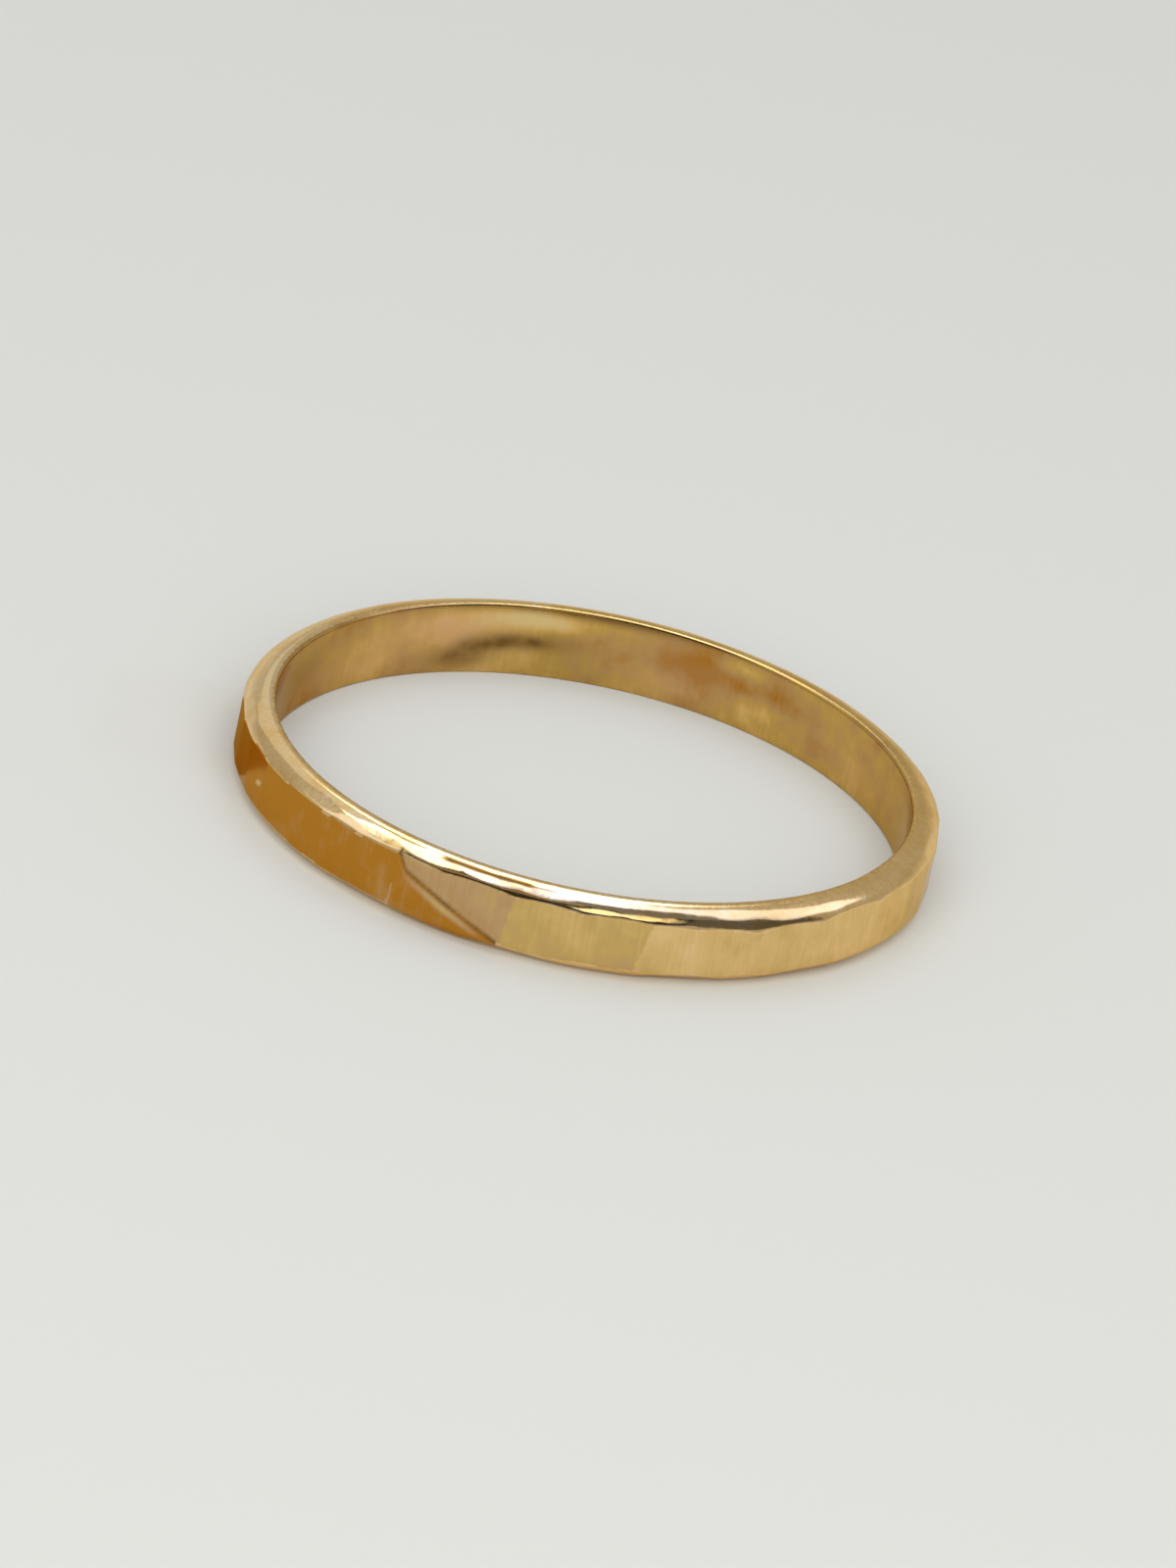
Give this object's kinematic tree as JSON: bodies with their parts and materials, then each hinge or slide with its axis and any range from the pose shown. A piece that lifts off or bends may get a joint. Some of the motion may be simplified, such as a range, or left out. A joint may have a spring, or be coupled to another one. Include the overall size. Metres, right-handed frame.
{
  "type": "hammered stackable ring",
  "caption": "Narrow flat-sided finger ring, a plain closed band whose outer face is hammered into facets, worn alone or stacked.",
  "frame": {"origin": "middle of the finger hole, at the level of the surface that the ring lies on", "axes": "+Z along the finger hole, up when the ring lies flat; -Y is the side that faces the viewer"},
  "size_m": [0.019, 0.019, 0.0021],
  "materials": {
    "gold": "yellow gold-filled wire, hammered and polished"
  },
  "bodies": {
    "root": {"band": "gold"}
  },
  "joints": []
}
